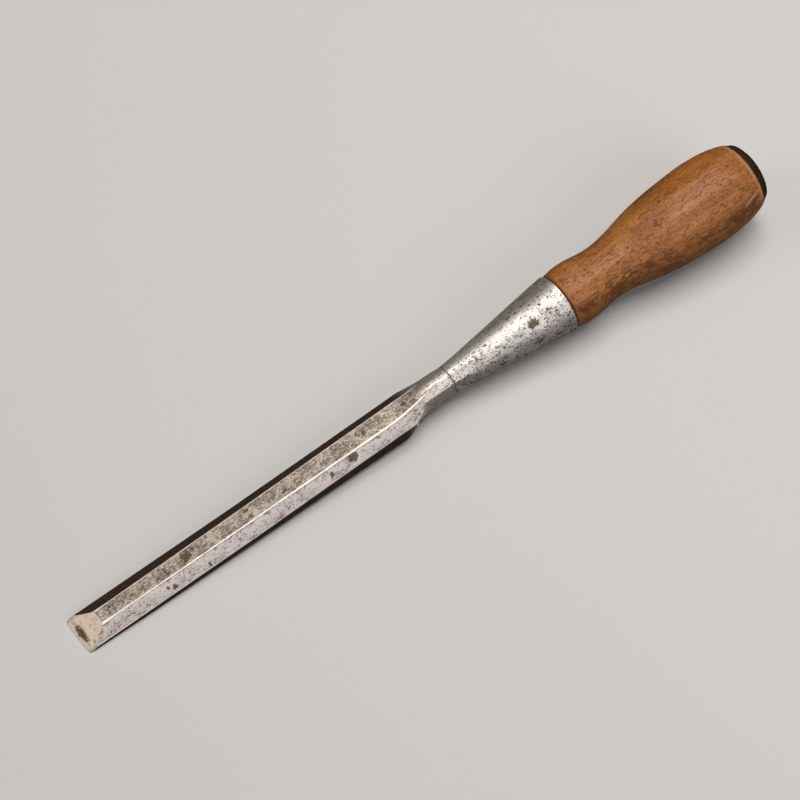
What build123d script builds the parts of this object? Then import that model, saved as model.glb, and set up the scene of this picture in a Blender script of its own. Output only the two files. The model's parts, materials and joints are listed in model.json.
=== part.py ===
"""Socket chisel with bevelled sides, a turned wooden handle and a leather striking end.

Frame: the chisel lies at rest on a bench, bevel up.  The origin is the middle of the cutting
edge, +X runs towards the striking end, +Y across the blade, and Z = 0 is the bench, which the
cutting edge and the swell of the handle both touch.  Millimetres.

The metal is drawn with the flat back of the blade on Z = 0.  What is turned about the handle
axis is drawn along +X, where X is the station along that axis, and then cranked up to its
angle.  Everything is laid down on the bench at the end.
"""
from build123d import *
import os
from math import atan2, cos, degrees, radians, sin

# ---- blade: six-sided section, given at the cutting edge, at a middle station and at its root ----
blade_length = 159.4        # from the cutting edge to the end of the shoulder sweep
blade_width = 15.9          # 5/8 inch, at the cutting edge
root_width = 15.5           # where the blade runs into the neck
mid_station = 76.0
side_heights = (1.7, 3.3, 7.4)      # square side wall at edge, middle and root
bevel_heights = (3.2, 4.1, 3.7)     # rise of the long side bevel at the same places
bevel_insets = (5.1, 4.6, 4.0)      # how far in the side bevel reaches

# ---- end bevel and cutting edge ----
bevel_angle = 27.0
honed_angle = 34.0          # narrow second bevel along the edge
honed_length = 0.7
edge_land = 0.12

# ---- neck, where the blade turns round; lengths from the end of the shoulder sweep ----
shoulder_sweep = 20.0       # radius of the concave sweep from the blade's side to the neck
shoulder_radius = 5.95      # distance from the handle axis at its end
neck_rise = 10.5            # the round neck starts this far back, buried in the blade
neck_start_radius = 3.9
root_length = 6.5           # the six-sided bar runs this far into the neck
neck_length = 7.5           # to where the neck has its full radius
seam_length = 12.3          # to where blade and socket are welded
neck_radius = 6.03
neck_height = 6.6           # handle axis above the flat back, at the neck
crank_angle = 2.2           # handle axis against the flat back

# ---- socket ----
socket_length = 53.8        # from the seam to the rim
rim_radius = 12.27
rim_round = 0.35
flare_length = 21.2         # from the seam to a station half-way up the flare
flare_radius = 8.38         # outer radius there
socket_wall = 1.75          # at the rim
socket_floor = 8.8          # from the seam to the bottom of the bore
floor_web = 1.8             # iron between the blade's stub and the bore
bore_end_radius = 4.6
spigot_radius = 3.2         # stub of the blade that the socket is welded around

# ---- handle ----
taper_clearance = 0.05      # tenon in the bore, measured across the axis
rim_gap = 0.4               # wood stops short of the rim
tenon_gap = 3.0             # between the tenon and the bottom of the bore
collar_edge_radius = 11.9
collar_edge_round = 0.5
collar_offset = 6.5         # fullest part of the collar, beyond the rim
collar_radius = 12.7
waist_offset = 20.3         # beyond the rim
waist_radius = 11.5
flank_radius = 15.0         # half-way between waist and swell
swell_setback = 24.2        # fullest part of the grip, ahead of the leather
swell_radius = 17.3
crown_setback = 9.7         # where the end starts to round over
crown_radius = 16.8
handle_length = 91.2        # from the rim to the leather
handle_end_radius = 14.6
stub_radius = 4.8           # carries the washers
stub_recess = 0.8           # below the striking face

# ---- leather washers ----
inner_washer = 2.7          # thickness
outer_washer = 2.1          # thickness where its worn edge meets the dome
dome_height = 1.2
washer_radius = 14.5        # inner washer against the wood
washer_joint_radius = 13.0  # where the two washers meet
dome_edge_radius = 9.4
washer_clearance = 0.05

# ---- stations along the handle axis that follow ----
root_station = blade_length + root_length
neck_start = blade_length - neck_rise
neck_station = blade_length + neck_length
seam_station = blade_length + seam_length
spigot_end = seam_station + socket_floor - floor_web
bore_bottom = seam_station + socket_floor
rim_station = seam_station + socket_length
shoulder_station = rim_station + rim_gap
waist_station = rim_station + waist_offset
handle_end = rim_station + handle_length
swell_station = handle_end - swell_setback
crown_station = handle_end - crown_setback
flank_station = (waist_station + swell_station) / 2
washer_joint = handle_end + inner_washer
striking_face = washer_joint + outer_washer + dome_height
bore_mouth_radius = rim_radius - socket_wall
bore_slope = (bore_mouth_radius - bore_end_radius) / (rim_station - bore_bottom)


def bore_radius(station):
    """Radius of the tapered bore at a station along the handle axis."""
    return bore_end_radius + bore_slope * (station - bore_bottom)


def turned(*curves):
    """Solid of revolution about X, from an outline in (station, radius) that ends on the axis."""
    edges = [edge for curve in curves for edge in curve.edges()]
    extent = Wire(edges).bounding_box()
    axis = Line((extent.min.X, 0), (extent.max.X, 0))
    return revolve(make_face(edges + axis.edges()), Axis.X)


def cranked(shape):
    """Tilt what was turned along X up to the handle axis, about the neck."""
    return Pos(neck_station, 0, neck_height) * Rot(0, -crank_angle, 0) * Pos(-neck_station, 0, 0) * shape


def blade_section(index, station, width):
    """Six-sided section of the blade, drawn a little below the flat back."""
    half = width / 2
    side = side_heights[index]
    top = side + bevel_heights[index]
    flat = half - bevel_insets[index]
    points = [(half, -1), (half, side), (flat, top), (-flat, top), (-half, side), (-half, -1)]
    return Plane.YZ.offset(station) * make_face(Polyline(*points, close=True))


def blade_blank():
    """Tapered six-sided bar with a true flat back, bevelled and honed at its end."""
    mid_width = blade_width + (root_width - blade_width) * mid_station / root_station
    sections = [
        blade_section(0, 0, blade_width),
        blade_section(1, mid_station, mid_width),
        blade_section(2, root_station, root_width),
    ]
    bar = loft(sections, ruled=True)
    bar -= Pos(0, 0, -5) * Box(3 * root_station, 2 * blade_width, 10)
    bar -= end_cut(edge_land, 0, honed_angle)
    honed_rise = honed_length * sin(radians(honed_angle))
    honed_run = honed_length * cos(radians(honed_angle))
    bar -= end_cut(edge_land + honed_rise, honed_run, bevel_angle)
    return bar


def end_cut(height, station, angle):
    """Block whose lower face passes through the given height and station at the given angle."""
    block = Pos(0, 0, 25) * Box(100, 2 * blade_width, 50)
    return Pos(station, 0, height) * Rot(0, -angle, 0) * block


def shoulder_envelope():
    """Space that the concave shoulder leaves to the blade, turned about the handle axis."""
    far = 3 * blade_width
    start = blade_length - shoulder_sweep
    top = shoulder_radius + shoulder_sweep
    return turned(
        Polyline((-far, 0), (-far, far), (start, far), (start, top)),
        TangentArc((blade_length, shoulder_radius), (start, top), tangent=(-1, 0)),
        Polyline((blade_length, shoulder_radius), (root_station, neck_start_radius), (root_station, 0)),
    )


def make_blade():
    """Blade, shoulder, round neck and the stub that the socket is welded around."""
    neck = turned(
        Line((neck_start, 0), (neck_start, neck_start_radius)),
        TangentArc((neck_station, neck_radius), (neck_start, neck_start_radius), tangent=(-1, 0)),
        Polyline(
            (neck_station, neck_radius),
            (seam_station, neck_radius),
            (seam_station, spigot_radius),
            (spigot_end, spigot_radius),
            (spigot_end, 0),
        ),
    )
    return (blade_blank() & cranked(shoulder_envelope())) + cranked(neck)


def make_socket():
    """Hollow cone forged round its bore and closed at the neck."""
    flare = Spline(
        (seam_station, neck_radius),
        (seam_station + flare_length, flare_radius),
        (rim_station - rim_round, rim_radius),
        tangents=((1, 0.06), (1, 0.105)),
    )
    cone = turned(
        Line((seam_station, 0), (seam_station, neck_radius)),
        flare,
        Line((rim_station - rim_round, rim_radius), (rim_station, rim_radius - rim_round)),
        Line((rim_station, rim_radius - rim_round), (rim_station, 0)),
    )
    bore = turned(
        Polyline(
            (seam_station, 0),
            (seam_station, spigot_radius),
            (spigot_end, spigot_radius),
            (spigot_end, 0),
        )
    )
    taper = turned(
        Polyline(
            (bore_bottom, 0),
            (bore_bottom, bore_end_radius),
            (rim_station + 1, bore_radius(rim_station + 1)),
            (rim_station + 1, 0),
        )
    )
    return cranked(cone - bore - taper)


def grip_profile():
    """Outline of the grip from the collar at the rim to its fullest part, the swell."""
    return Spline(
        (shoulder_station + collar_edge_round, collar_edge_radius),
        (rim_station + collar_offset, collar_radius),
        (waist_station, waist_radius),
        (flank_station, flank_radius),
        (swell_station, swell_radius),
    )


def make_handle():
    """Tapered tenon, collar, waist, swell and the stub for the washers, in one piece of wood."""
    tenon_start = bore_bottom + tenon_gap
    stub_end = striking_face - stub_recess
    edge_start = collar_edge_radius - collar_edge_round
    grip = grip_profile()
    back_of_swell = TangentArc(grip @ 1, (crown_station, crown_radius), tangent=grip % 1)
    rounded_end = TangentArc(back_of_swell @ 1, (handle_end, handle_end_radius), tangent=back_of_swell % 1)
    return cranked(
        turned(
            Polyline(
                (tenon_start, 0),
                (tenon_start, bore_radius(tenon_start) - taper_clearance),
                (shoulder_station, bore_radius(shoulder_station) - taper_clearance),
                (shoulder_station, edge_start),
                (shoulder_station + collar_edge_round, collar_edge_radius),
            ),
            grip,
            back_of_swell,
            rounded_end,
            Polyline(
                (handle_end, handle_end_radius),
                (handle_end, stub_radius),
                (stub_end, stub_radius),
                (stub_end, 0),
            ),
        )
    )


def make_inner_washer():
    """Leather washer against the wood."""
    hole = stub_radius + washer_clearance
    disc = turned(
        Polyline(
            (handle_end, 0),
            (handle_end, washer_radius),
            (washer_joint, washer_joint_radius),
            (washer_joint, 0),
        )
    )
    return cranked(disc - stub_hole(hole))


def make_outer_washer():
    """Leather washer that takes the blows, mushroomed into a low dome."""
    hole = stub_radius + washer_clearance
    edge_top = washer_joint + outer_washer
    edge_fall = washer_joint_radius - dome_edge_radius
    disc = turned(
        Polyline((washer_joint, 0), (washer_joint, washer_joint_radius)),
        ThreePointArc(
            (washer_joint, washer_joint_radius),
            (washer_joint + 0.62 * outer_washer, washer_joint_radius - 0.44 * edge_fall),
            (edge_top, dome_edge_radius),
        ),
        TangentArc((striking_face, 0), (edge_top, dome_edge_radius), tangent=(0, 1)),
    )
    return cranked(disc - stub_hole(hole))


def stub_hole(radius):
    """Hole through both washers."""
    length = striking_face - handle_end
    hole = Pos((handle_end + striking_face) / 2, 0, 0) * Rot(0, 90, 0) * Cylinder(radius, 2 * length)
    return hole


def rest_tilt():
    """Angle that lays the cutting edge and the swell of the handle on the bench together."""
    profile = grip_profile()
    slope = radians(crank_angle)
    tilts = []
    for step in range(401):
        point = profile @ (step / 400)
        along = neck_station + (point.X - neck_station) * cos(slope) + point.Y * sin(slope)
        under = neck_height + (point.X - neck_station) * sin(slope) - point.Y * cos(slope)
        tilts.append(degrees(atan2(-under, along)))
    return max(tilts)


parts = {
    "blade": make_blade(),
    "socket": make_socket(),
    "handle": make_handle(),
    "leather_washer_inner": make_inner_washer(),
    "leather_washer_outer": make_outer_washer(),
}

tilt = rest_tilt()
os.makedirs("parts", exist_ok=True)
for name, shape in parts.items():
    export_step(Rot(0, -tilt, 0) * shape, f"parts/{name}.step")

axis_angle = crank_angle + tilt
print(f"flat back tilted {tilt:.3f} deg, handle axis at {axis_angle:.3f} deg to the bench")
print(f"handle axis direction ({cos(radians(axis_angle)):.6f}, 0, {sin(radians(axis_angle)):.6f})")
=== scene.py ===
"""Looks of an old socket chisel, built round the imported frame.

Meshes are drawn in millimetres and written in metres, in the row frame: +X runs from the cutting
edge to the striking end, +Y across the blade, Z = 0 is the bench.  A station is a distance along
the blade or along the handle axis from the cutting edge.  The near side is -Y.
"""
import json
from math import atan2, cos, exp, hypot, pi, radians, sin, sqrt, tan

import bpy
from mathutils import Matrix, Vector, noise


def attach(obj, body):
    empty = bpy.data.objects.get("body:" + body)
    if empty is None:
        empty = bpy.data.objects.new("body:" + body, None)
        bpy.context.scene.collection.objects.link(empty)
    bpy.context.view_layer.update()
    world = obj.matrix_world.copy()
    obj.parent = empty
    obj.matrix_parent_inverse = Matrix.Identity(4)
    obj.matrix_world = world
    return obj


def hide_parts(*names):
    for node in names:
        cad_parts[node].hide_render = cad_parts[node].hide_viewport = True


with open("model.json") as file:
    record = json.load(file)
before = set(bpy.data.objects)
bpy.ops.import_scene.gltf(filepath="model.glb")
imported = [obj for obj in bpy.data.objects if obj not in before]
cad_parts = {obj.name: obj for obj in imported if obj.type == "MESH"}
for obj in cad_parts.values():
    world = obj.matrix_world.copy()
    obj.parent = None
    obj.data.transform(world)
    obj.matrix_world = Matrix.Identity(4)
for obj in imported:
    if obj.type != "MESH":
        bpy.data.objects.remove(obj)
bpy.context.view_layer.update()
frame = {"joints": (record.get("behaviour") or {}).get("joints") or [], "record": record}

MM = 0.001
UP = Vector((0, 0, 1))
ACROSS = Vector((0, 1, 0))

# ---- sizes of the CAD pieces, in millimetres ----
BLADE_WIDTH = 15.9
ROOT_WIDTH = 15.5
SECTION_STATIONS = (0.0, 76.0, 165.9)
SIDE_HEIGHTS = (1.7, 3.3, 7.4)
BEVEL_HEIGHTS = (3.2, 4.1, 3.7)
BEVEL_INSETS = (5.1, 4.6, 4.0)
EDGE_LAND = 0.12
HONED_LENGTH = 0.7
HONED_ANGLE = radians(34)
BEVEL_ANGLE = radians(27)
SWEEP = 20.0
SHOULDER_END = 159.4
SHOULDER_RADIUS = 5.95
ROOT = 165.9
NECK_START = 148.9
NECK_START_RADIUS = 3.9
NECK_GROWTH_START = NECK_START - 6
NECK = 166.9
NECK_RADIUS = 6.03
NECK_HEIGHT = 6.6
CRANK = radians(2.2)
SEAM = 171.7
SPIGOT_RADIUS = 3.2
SPIGOT_END = 178.7
BORE_BOTTOM = 180.5
BORE_END_RADIUS = 4.6
FLARE = 192.9
FLARE_RADIUS = 8.38
RIM = 225.5
RIM_RADIUS = 12.27
RIM_ROUND = 0.35
SOCKET_WALL = 1.75
SEAM_SLOPE = 0.06  # rise of the outside per length, at the seam and at the rim
RIM_SLOPE = 0.105
HANDLE_SHOULDER = 225.9
TENON_START = 183.5
TENON_CLEARANCE = 0.05
COLLAR_EDGE = 11.9
COLLAR_ROUND = 0.5
GRIP = ((232.0, 12.7), (245.8, 11.5), (269.15, 15.0), (292.5, 17.3))
CROWN = (307.0, 16.8)
HANDLE_END = 316.7
HANDLE_END_RADIUS = 14.6
STUB_RADIUS = 4.8
STUB_END = 321.9
WASHER_RADIUS = 14.5
WASHER_JOINT = (319.4, 13.0)
DOME_EDGE = (321.5, 9.4)
DOME_SLOPE = -0.95
DOME_STEPS = 13
STRIKING_FACE = 322.7
WASHER_HOLE = 4.85

# ---- how finely the meshes are drawn ----
COLUMNS = 168
FLAT_STEPS = 28  # across the top flat and the flat back
WALL_STEPS = 12
BEVEL_STEPS = 16
CORNER_STEPS = (4, 5, 8)  # lower arris, arris of wall and bevel, ridge
SIDE_COLUMNS = sum(CORNER_STEPS) + 3 + (WALL_STEPS - 1) + (BEVEL_STEPS - 1)

record = frame["record"]
mounts = {mount["name"]: mount for mount in record["mounts"]}
HANDLE_AXIS = Vector(frame["joints"][0]["axis"]).normalized()
HANDLE_UP = HANDLE_AXIS.cross(ACROSS).normalized()
STRIKING_POINT = Vector(mounts["striking_end"]["pos_m"])
BLADE_UP = -Vector(mounts["blade_back"]["axis"]).normalized()
BLADE_ALONG = ACROSS.cross(BLADE_UP).normalized()
EDGE_POINT = Vector(mounts["cutting_edge"]["pos_m"])


def on_blade(x, y, z):
    """Point of the row frame from a place along, across and above the flat back."""
    return EDGE_POINT + (BLADE_ALONG * x + ACROSS * y + BLADE_UP * z) * MM


def on_handle(station, across, up):
    """Point of the row frame from a station on the handle axis and an offset from it."""
    return STRIKING_POINT + (HANDLE_AXIS * (station - STRIKING_FACE) + ACROSS * across + HANDLE_UP * up) * MM


def smoothstep(low, high, value):
    share = min(max((value - low) / (high - low), 0), 1)
    return share * share * (3 - 2 * share)


def lower_of(a, b, blend):
    """The smaller of two lengths, rounded where they cross."""
    share = max(blend - abs(a - b), 0) / blend
    return min(a, b) - share * share * blend / 4


def upper_of(a, b, blend):
    return -lower_of(-a, -b, blend)


def fractal(point, scale, octaves):
    """Noise of about -1 to 1 at a place given in millimetres."""
    return noise.fractal(point * scale, 0.7, 2.0, octaves)


# ---- meshes ----

def skin(rows, count, closed=False):
    """Faces between rings of equal length; a closed skin also joins the last ring to the first."""
    faces = []
    for row in range(rows if closed else rows - 1):
        low = row * count
        high = (row + 1) % rows * count
        for column in range(count):
            after = (column + 1) % count
            faces.append((low + column, high + column, high + after, low + after))
    return faces


def fan(tip, first, count):
    """Faces from a point to a ring."""
    return [(tip, first + column, first + (column + 1) % count) for column in range(count)]


def finished_mesh(name, vertices, faces, place, marks, materials):
    """Smooth piece on its body, in place of the node it replaces; the slot named in its place is not used.
    Points past the marks have none.
    """
    mesh = bpy.data.meshes.new(name)
    mesh.from_pydata(vertices, [], faces)
    mesh.validate()
    mesh.update()
    mesh.shade_smooth()
    for key, values in marks.items():
        layer = mesh.attributes.new(key, "FLOAT", "POINT")
        spare = len(mesh.vertices) - len(values)
        layer.data.foreach_set("value", values + [0.0] * spare)
    for material in materials:
        mesh.materials.append(material)
    piece = bpy.data.objects.new(name, mesh)
    bpy.context.collection.objects.link(piece)
    body, slot, replaced = place
    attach(piece, body)
    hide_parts(replaced)
    return piece


def between(a, b, steps):
    """Interior points of a straight run."""
    return [a + (b - a) * k / steps for k in range(1, steps)]


def wrapped(turn):
    """The same turn, between half a turn back and half a turn on."""
    return (turn + pi) % (2 * pi) - pi


def corner(point, before, after, radius, steps):
    """Arc that rounds a corner of the section."""
    u = (before - point).normalized()
    v = (after - point).normalized()
    half = u.angle(v) / 2
    centre = point + (u + v).normalized() * radius / sin(half)
    start = point + u * radius / tan(half) - centre
    end = point + v * radius / tan(half) - centre
    first = atan2(start.y, start.x)
    turn = wrapped(atan2(end.y, end.x) - first)
    turns = [first + turn * k / steps for k in range(steps + 1)]
    return [centre + Vector((cos(angle), sin(angle))) * radius for angle in turns]


# ---- the blade, worn and rounded; all lengths in millimetres ----
LOWER_ROUND = 0.2
BACK_SPREAD = 0.3  # the sides stand a little wider at the back than at the arris
BACK_SPREAD_RUN = (0.0, 30.0)
WALL_ROUND = 0.5
RIDGE_ROUND = 1.0
RIDGE_GROWTH = 0.5  # the near ridge gets rounder towards the neck
RIDGE_GROWTH_RUN = (60.0, 140.0)
FAR_RIDGE_ROUND = 0.8
TIP_ROUND = 1.6  # the ridges are rounder by this behind the end bevel
TIP_ROUND_FADE = (8.0, 16.0)
# Corners and faces of the section follow each other round it, from the near lower arris.
CORNER_KINDS = ("near_wall", "near_bevel", "top", "top", "far_bevel", "far_wall")
# Strength of the pale mark on each corner: partly wear of the arrises, partly painted highlight, strongest on
# the near corners that face the light.
CORNER_WEARS_AND_HIGHLIGHTS = (0.45, 1.4, 1.0, 0.7, 0.2, 0.2)
FACE_KINDS = ("near_wall", "near_bevel", "top", "far_bevel", "far_wall", "back")
FACE_STEPS = (WALL_STEPS, BEVEL_STEPS, FLAT_STEPS, BEVEL_STEPS, WALL_STEPS, FLAT_STEPS)
ROUND_STEPS = CORNER_STEPS + CORNER_STEPS[::-1]


def section_sizes(station):
    """Half width, wall height, full height and half width of the top flat at a station."""
    k = 0 if station < SECTION_STATIONS[1] else 1
    span = SECTION_STATIONS[k + 1] - SECTION_STATIONS[k]
    share = (station - SECTION_STATIONS[k]) / span
    side, rise, inset = (
        sizes[k] + (sizes[k + 1] - sizes[k]) * share
        for sizes in (SIDE_HEIGHTS, BEVEL_HEIGHTS, BEVEL_INSETS)
    )
    half = (BLADE_WIDTH + (ROOT_WIDTH - BLADE_WIDTH) * station / ROOT) / 2
    return half, side, side + rise, half - inset


def section(station):
    """Rounded six-sided section, as corners and faces in turn; points are (across, up)."""
    half, side, top, flat = section_sizes(station)
    near_ridge = -flat + ridge_shift(station)
    back = half + BACK_SPREAD * smoothstep(*BACK_SPREAD_RUN, station)
    tip = TIP_ROUND * (1 - smoothstep(*TIP_ROUND_FADE, station))
    ridge = RIDGE_ROUND + RIDGE_GROWTH * smoothstep(*RIDGE_GROWTH_RUN, station) + tip
    near = [Vector(p) for p in ((-back, 0), (-half, side), (near_ridge, top))]
    outline = near + [Vector(p) for p in ((flat, top), (half, side), (back, 0))]
    rounds = (LOWER_ROUND, WALL_ROUND, ridge, FAR_RIDGE_ROUND + tip, WALL_ROUND, LOWER_ROUND)
    arcs = []
    for k in range(6):
        arcs.append(corner(outline[k], outline[k - 1], outline[(k + 1) % 6], rounds[k], ROUND_STEPS[k]))
    ring = []
    for k in range(6):
        ring += arcs[k]
        ring += between(arcs[k][-1], arcs[(k + 1) % 6][0], FACE_STEPS[k])
    return ring


def column_kinds():
    """What each column of the section lies on, and how much of an arris it is."""
    kinds = []
    for k in range(6):
        rounds = ROUND_STEPS[k] + 1
        kinds += [(CORNER_KINDS[k], CORNER_WEARS_AND_HIGHLIGHTS[k] * sin(pi * (n + 0.5) / rounds)) for n in range(rounds)]
        kinds += [(FACE_KINDS[k], 0.0)] * (FACE_STEPS[k] - 1)
    return kinds


CORNER_WEAR = 1.6  # how far in from the sides the corners of the edge are worn
CORNER_SHARE = 0.6  # how far back they are worn, as a share of that
HONED_RUN = HONED_LENGTH * cos(HONED_ANGLE)
HONED_RISE = EDGE_LAND + HONED_LENGTH * sin(HONED_ANGLE)


def end_bevel(height, across=0.0):
    """Station of the end bevel at a height above the flat back; the corners of the edge are worn round."""
    beyond = max(abs(across) - (BLADE_WIDTH / 2 - CORNER_WEAR), 0)
    worn = CORNER_WEAR - sqrt(max(CORNER_WEAR ** 2 - beyond ** 2, 0))
    return worn * CORNER_SHARE + ground_station(height)


def ground_station(height):
    """Station of the ground end bevel at a height above the flat back."""
    if height < EDGE_LAND:
        return 0.0
    if height < HONED_RISE:
        return (height - EDGE_LAND) / tan(HONED_ANGLE)
    return HONED_RUN + (height - HONED_RISE) / tan(BEVEL_ANGLE)


NO_CUT = 12.0  # beyond every corner of the blade
FAR_SWEEP = 60.0  # the far side runs out longer and gentler than the near one
FAR_SWEEP_END = 168.5
LOW_SWEEP = 30.0  # and so does the lower edge of the near side
LOW_SWEEP_END = 163.0
RIDGE_SHIFT = 2.6  # how far the near ridge bends over towards the far side at the neck
RIDGE_SHIFT_RUN = (140.0, 166.0)
RIDGE_SHIFT_POWER = 1.3
NECK_FLATS = ((118.0, 20.0), (169.0, 31.0))  # turn and half spread of the flats forged on the neck
FLAT_START = 154.0
FLAT_FULL = 160.0
FLAT_FADE = SEAM + 2
FLAT_FADE_END = 187.0
FLAT_EDGE_ROUND = 0.12


def sweep_radius(station, far_share, low_share):
    """Distance from the handle axis that the shoulder sweep leaves to the blade."""
    near = min(swept(station, SHOULDER_END, SWEEP), NO_CUT)
    low = min(swept(station, LOW_SWEEP_END, LOW_SWEEP), NO_CUT)
    far = min(swept(station, FAR_SWEEP_END, FAR_SWEEP), NO_CUT)
    near += (low - near) * low_share
    return near + (far - near) * far_share


def ridge_shift(station):
    """How far the near ridge has bent towards the far side at a station."""
    return RIDGE_SHIFT * smoothstep(*RIDGE_SHIFT_RUN, station) ** RIDGE_SHIFT_POWER


def flattened(radius, turn, station):
    """Radius of the neck and socket where the smith's flats still show on the near side."""
    if station < FLAT_FULL:
        share = smoothstep(FLAT_START, FLAT_FULL, station)
    else:
        share = 1 - smoothstep(FLAT_FADE, FLAT_FADE_END, station)
    for middle, spread in NECK_FLATS:
        aside = wrapped(turn - radians(middle))
        if share > 0 and abs(aside) < radians(75):
            distance = radius * (1 - (1 - cos(radians(spread))) * share)
            radius = lower_of(radius, distance / cos(aside), FLAT_EDGE_ROUND)
    return radius


def swept(station, end, bend):
    """Radius of a concave sweep that runs out at its end station."""
    run = max(end - station, 0)
    if run >= bend:
        return NO_CUT
    return SHOULDER_RADIUS + bend - sqrt(bend ** 2 - run ** 2)


def neck_radius(station):
    """Radius of the round neck that grows out of the shoulder."""
    if station > NECK:
        return NECK_RADIUS
    if station < NECK_GROWTH_START:
        return 0.0
    run = NECK - NECK_START
    drop = NECK_RADIUS - NECK_START_RADIUS
    bend = (run ** 2 + drop ** 2) / (2 * drop)
    return NECK_RADIUS - bend + sqrt(bend ** 2 - (NECK - station) ** 2)


FRONT_ZONE = 16.0
SHOULDER_ZONE = 138.0
FRONT_ROWS = 26
BLADE_STEP = 0.6
SHOULDER_STEP = 0.22
SHOULDER_CREASE = 0.2  # rounding of the line between the blade's faces and the sweep
LOWER_CREASE = 1.6  # the same at the bottom of the side walls, where it is worn round
NECK_BLEND = 0.9
SEAM_GROOVE = 0.10
SEAM_GROOVE_WIDTH = 0.22
SEAM_MARK_WIDTH = 0.25
PIT_DEPTH = 0.05
HIDDEN_PIT_SHARE = 0.4  # the walls and the back are pitted less
# Share of dark scale on each kind of face: partly scale, partly painted shade on the side walls, the far
# bevel and the back.
OXIDE_AND_SHADE = {"near_wall": 1.0, "far_bevel": 1.0, "far_wall": 1.0, "back": 0.35}
NECK_ROUND_RUN = (SHOULDER_END - 5, SEAM - 6)
# Where the far sweep, the low sweep and the wear of the crease begin and are full.
FAR_SHARE_RUN = (-0.1, 0.6)
LOW_SHARE_RUN = (0.2, -0.35)
CREASE_WEAR_RUN = (0.5, -4.0)
SHOULDER_LINE_WIDTH = 0.3


BLADE_STAINS = (
    # along, across, length, width of a brown patch
    (49.4, 0.2, 5.6, 4.4),
    (53.0, 1.4, 1.8, 3.2),
    (40.2, -1.6, 2.0, 1.8),
    (24.6, 0.0, 1.8, 1.6),
    (37.2, -5.4, 1.6, 1.4),
    (39.8, -6.4, 2.2, 1.8),
    (55.4, -6.9, 1.4, 2.0),
    (78.0, 1.6, 4.0, 1.6),
    (94.0, -1.0, 2.4, 1.4),
    (112.6, -5.6, 1.8, 1.8),
    (122.9, -4.9, 5.4, 3.2),
    (131.8, 0.2, 2.6, 2.2),
    (151.0, 0.6, 3.0, 2.0),
    (153.6, 3.4, 1.4, 1.0),
)
SOCKET_STAINS = (
    # station, turn in degrees from +Y, length, width
    (209.5, 119.0, 5.6, 3.8),
    (208.5, 162.0, 6.0, 1.8),
    (217.0, 171.0, 4.4, 1.6),
    (192.5, 172.0, 3.6, 1.6),
    (211.3, 69.0, 5.4, 1.2),
    (203.0, 71.0, 3.4, 1.8),
    (206.5, 73.0, 1.6, 1.2),
    (197.0, 56.0, 9.0, 1.6),
    (222.0, 40.0, 4.0, 2.0),
    (206.0, -60.0, 6.0, 3.0),
    (188.0, -100.0, 5.0, 2.5),
)


def pitting(point):
    """Depth of the larger corrosion pits at a place in millimetres."""
    patches = fractal(point, 0.16, 3) * 0.5 + 0.25
    pits = noise.noise(point * 0.9) - 0.28 - 0.25 * (1 - max(min(patches, 1), 0))
    return PIT_DEPTH * max(pits, 0) * 3


def stained(along, across, stains):
    """How near a place is to the middle of a brown patch, from 0 outside to 1."""
    depth = 0.0
    for place, side, length, width in stains:
        away = hypot((along - place) / length, (across - side) / width) * 2
        depth = max(depth, 1 - smoothstep(0.2, 1.7, away))
    return depth


def stations(first, last, step):
    """Evenly spaced stations from the first up to, but not with, the last."""
    steps = round((last - first) / step)
    return [first + (last - first) * k / steps for k in range(steps)]


def blade_rows():
    """Rows of points (across, up, along), each with its station and the strength of the pale line at its
    points, partly wear and partly painted highlight.
    """
    no_pale_line = [0.0] * len(column_kinds())
    for k in range(FRONT_ROWS):
        share = k / FRONT_ROWS
        yield [front_place(column, share) for column in range(len(no_pale_line))], FRONT_ZONE * share, no_pale_line
    for station in stations(FRONT_ZONE, SHOULDER_ZONE, BLADE_STEP):
        yield [(across, up, station) for across, up in section(station)], station, no_pale_line
    for station in stations(SHOULDER_ZONE, SEAM, SHOULDER_STEP) + [SEAM]:
        points, edges = shoulder_row(station)
        yield points, station, edges


def blade_rings():
    """Pitted rows of the blade, and the marks of all their points as the shader reads them."""
    kinds = column_kinds()
    rings = []
    marks = {}
    for points, station, edges in blade_rows():
        depths = []
        for (across, up, along), (kind, arris), edge in zip(points, kinds, edges):
            spot = Vector((along, across, up))
            hidden = kind in ("back", "far_wall", "near_wall")
            depth = pitting(spot) * (HIDDEN_PIT_SHARE if hidden else 1)
            depths.append(depth)
            for name, value in blade_marks(spot, station, kind, arris, edge, depth).items():
                marks.setdefault(name, []).append(value)
        rings.append(sunk(points, depths))
    return rings, marks


def blade_marks(spot, station, kind, arris, edge, depth):
    """How worn and highlighted, dark with scale and painted shade, dull, pitted or stained a point of the
    blade is.
    """
    round_neck = smoothstep(*NECK_ROUND_RUN, station)
    _, side, top, _ = section_sizes(min(station, ROOT))
    # The dark scale and painted shade fade out towards the round neck.
    if kind.startswith("far"):
        dark = 1 - 0.85 * smoothstep(149.0, 167.0, station)
    else:
        dark = (1 - round_neck) * (1 - 0.45 * smoothstep(146.0, 152.0, station))
    return {
        "arris": max(arris * (1 - round_neck), edge * 0.7),
        "oxide": OXIDE_AND_SHADE.get(kind, 0.0) * dark,
        "dull": 1 - round_neck if kind == "top" else 0.0,
        "pit": min(depth / PIT_DEPTH, 1),
        "neck": round_neck,
        "stain": stained(spot.x, spot.y, BLADE_STAINS) if spot.z > 1.0 else 0.0,
        "crease": seam_mark(station),
        "low": smoothstep(top, side, spot.z) if kind == "near_bevel" else 0.0,
    }


def sunk(row, depths):
    """Row with each point moved in by its depth, square to the line through its neighbours."""
    moved = []
    for column, ((across, up, along), depth) in enumerate(zip(row, depths)):
        before = row[column - 1]
        after = row[(column + 1) % len(row)]
        inward = Vector((after[1] - before[1], before[0] - after[0])).normalized() * depth
        moved.append((across + inward.x, up + inward.y, along))
    return moved


front_sections = {}


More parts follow.
